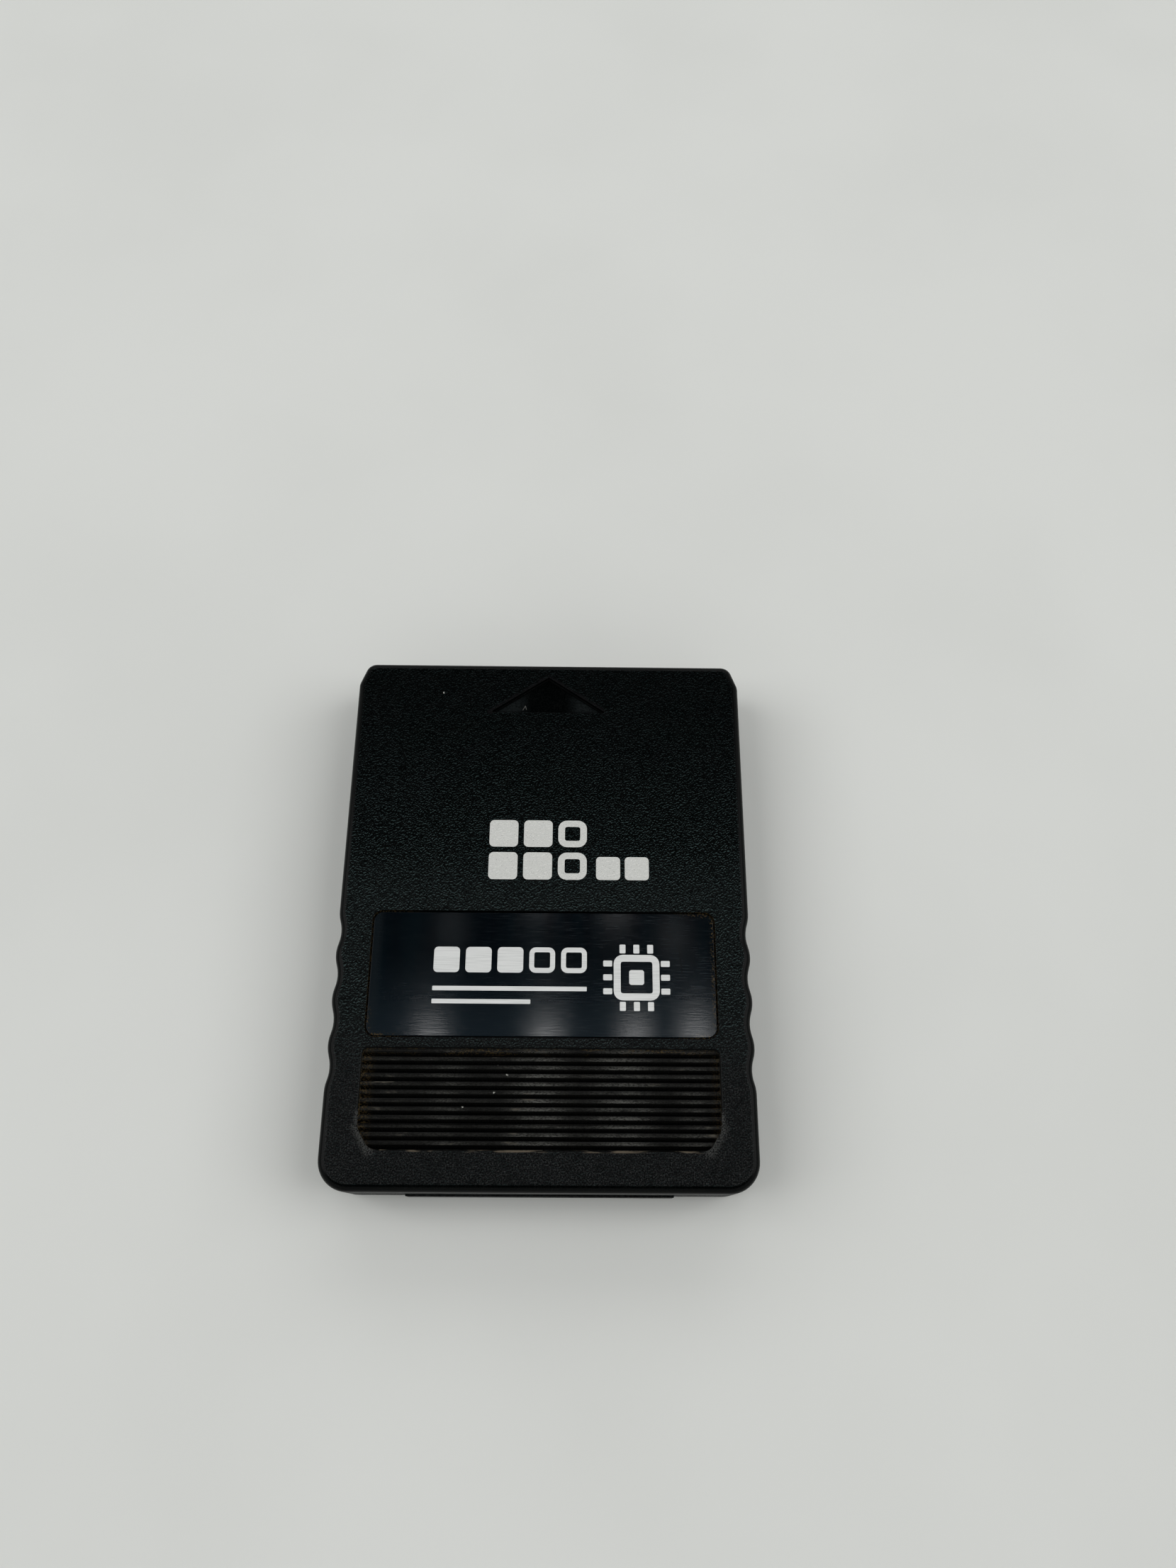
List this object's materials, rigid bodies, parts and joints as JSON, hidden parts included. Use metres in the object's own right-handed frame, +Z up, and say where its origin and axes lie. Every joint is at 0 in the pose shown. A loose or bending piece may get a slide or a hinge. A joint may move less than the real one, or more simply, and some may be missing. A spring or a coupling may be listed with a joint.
{
  "type": "console memory card",
  "caption": "Flat black console memory card with a sunk arrow, a glossy label, a ribbed thumb panel, scalloped sides and a socket of gold contacts in its insertion end.",
  "frame": {"origin": "centre of the card's bounding box, on its flat underside", "axes": "+Y towards the insertion end, +Z up through the labelled top, +X to the right when the arrow points away"},
  "size_m": [0.042, 0.0558, 0.008],
  "materials": {
    "shell_plastic": "fine leather grain, polished in the arrow and on the ribs",
    "label_film": "gloss film, finely scratched",
    "block_plastic": "satin",
    "contact_gold": "gold plated",
    "board_laminate": "solder mask",
    "chip_epoxy": "matte moulding",
    "tinned_lead": "tin plated",
    "crystal_can": "satin metal lid",
    "capacitor_ceramic": "fired ceramic",
    "resistor_ceramic": "glazed ceramic"
  },
  "bodies": {
    "root": {"upper_shell": "shell_plastic", "lower_shell": "shell_plastic", "front_label": "label_film", "contact_block": "block_plastic", "contact_1": "contact_gold", "contact_2": "contact_gold", "contact_3": "contact_gold", "contact_4": "contact_gold", "contact_5": "contact_gold", "contact_6": "contact_gold", "contact_7": "contact_gold", "contact_8": "contact_gold", "circuit_board": "board_laminate", "memory_chip": "chip_epoxy", "memory_chip_leads": "tinned_lead", "controller_chip": "chip_epoxy", "controller_chip_leads": "tinned_lead", "crystal": "crystal_can", "capacitor_1": "capacitor_ceramic", "capacitor_2": "capacitor_ceramic", "capacitor_3": "capacitor_ceramic", "capacitor_4": "capacitor_ceramic", "resistor_1": "resistor_ceramic", "resistor_2": "resistor_ceramic", "resistor_3": "resistor_ceramic", "resistor_4": "resistor_ceramic", "resistor_5": "resistor_ceramic"}
  },
  "joints": []
}
